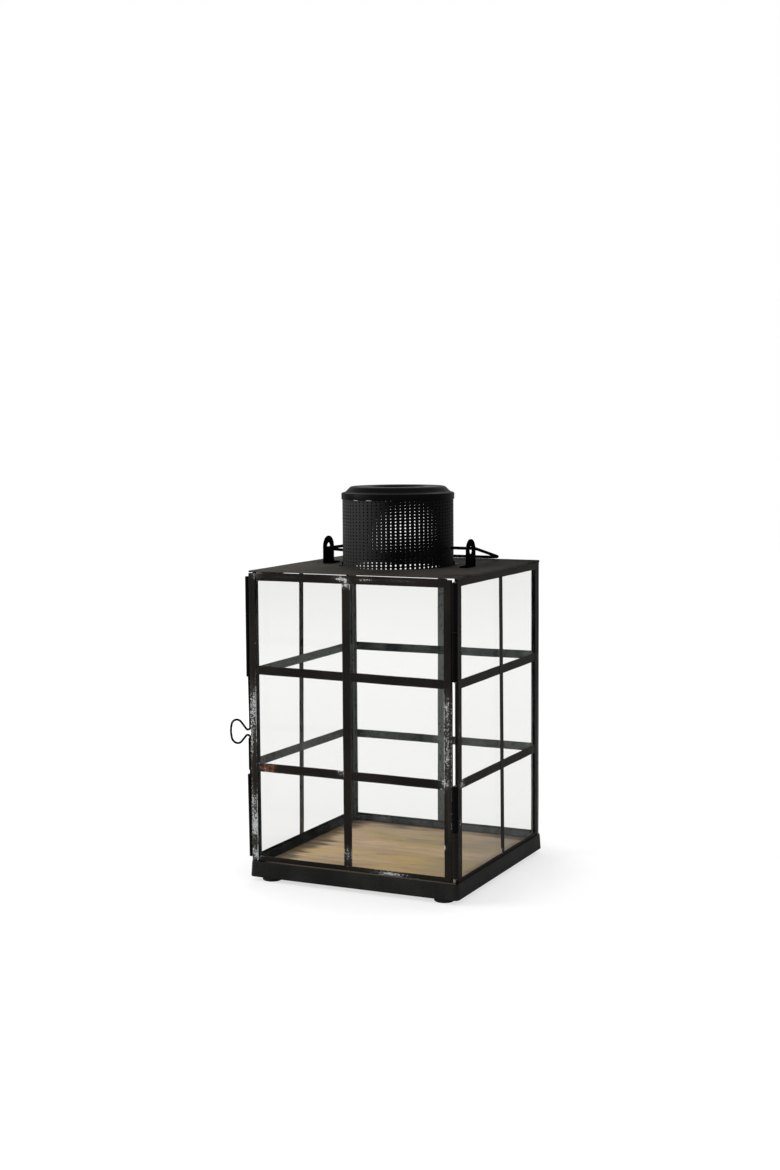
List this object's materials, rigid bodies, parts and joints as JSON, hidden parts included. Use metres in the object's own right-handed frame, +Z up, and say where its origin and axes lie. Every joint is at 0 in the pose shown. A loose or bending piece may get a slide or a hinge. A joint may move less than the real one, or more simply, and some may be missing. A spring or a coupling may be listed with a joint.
{
  "type": "candle lantern",
  "caption": "Square glazed candle lantern on a shallow tray, with a hinged door, a wire drop latch, a round vented chimney and a folding wire handle.",
  "frame": {"origin": "centre of the case on the plane of the four feet's undersides, where the lantern stands", "axes": "+X to the lantern's right seen from the front, towards the door's hinge; +Y from the door to the back panel; +Z up along the chimney"},
  "size_m": [0.2256, 0.2052, 0.354],
  "materials": {
    "frame_paint": "worn satin black paint on folded zinc strip, with chips and rust at the joints",
    "roof_paint": "weathered black-brown paint on sheet metal",
    "chimney_paint": "satin black paint on perforated sheet",
    "tray_paint": "satin black paint with fine scuffs",
    "glass": "clear flat window glass",
    "board_wood": "bare softwood board with a dark stained border",
    "foot_rubber": "black rubber disc",
    "black_wire": "black coated steel wire",
    "pin_steel": "dull steel wire"
  },
  "bodies": {
    "case": {"base_tray": "tray_paint", "feet": "foot_rubber", "candle_board": "board_wood", "left_front_stile": "frame_paint", "left_back_stile": "frame_paint", "left_head": "frame_paint", "left_sill": "frame_paint", "left_mullion": "frame_paint", "left_upper_bars": "frame_paint", "left_lower_bars": "frame_paint", "left_glass": "glass", "right_front_stile": "frame_paint", "right_back_stile": "frame_paint", "right_head": "frame_paint", "right_sill": "frame_paint", "right_mullion": "frame_paint", "right_upper_bars": "frame_paint", "right_lower_bars": "frame_paint", "right_glass": "glass", "back_left_stile": "frame_paint", "back_right_stile": "frame_paint", "back_head": "frame_paint", "back_sill": "frame_paint", "back_mullion": "frame_paint", "back_upper_bars": "frame_paint", "back_lower_bars": "frame_paint", "back_glass": "glass", "roof_plate": "roof_paint", "chimney_tube": "chimney_paint", "chimney_cap": "chimney_paint", "chimney_tabs": "chimney_paint", "ear_left": "frame_paint", "ear_right": "frame_paint", "ear_rivets": "frame_paint", "case_tube_upper": "frame_paint", "case_tube_lower": "frame_paint", "hinge_pin_upper": "pin_steel", "hinge_pin_lower": "pin_steel", "latch_clip": "frame_paint"},
    "door": {"door_latch_stile": "frame_paint", "door_hinge_stile": "frame_paint", "door_head": "frame_paint", "door_sill": "frame_paint", "door_mullion": "frame_paint", "door_upper_bars": "frame_paint", "door_lower_bars": "frame_paint", "door_glass": "glass", "door_tube_upper": "frame_paint", "door_tube_lower": "frame_paint", "latch_guide_upper": "frame_paint", "latch_guide_lower": "frame_paint"},
    "latch": {"latch_wire": "black_wire"},
    "handle": {"bail_handle": "black_wire"}
  },
  "joints": [
    {"name": "door_hinge", "type": "hinge", "parent": "case", "child": "door", "pos_m": [0.0992, -0.099, 0.15], "axis": [0, 0, 1], "range_deg": [0, 170]},
    {"name": "latch_slide", "type": "slide", "parent": "door", "child": "latch", "axis": [0, 0, 1], "range_m": [0, 0.038]},
    {"name": "handle_hinge", "type": "hinge", "parent": "case", "child": "handle", "pos_m": [0, 0, 0.297], "axis": [1, 0, 0], "range_deg": [0, 196]}
  ]
}
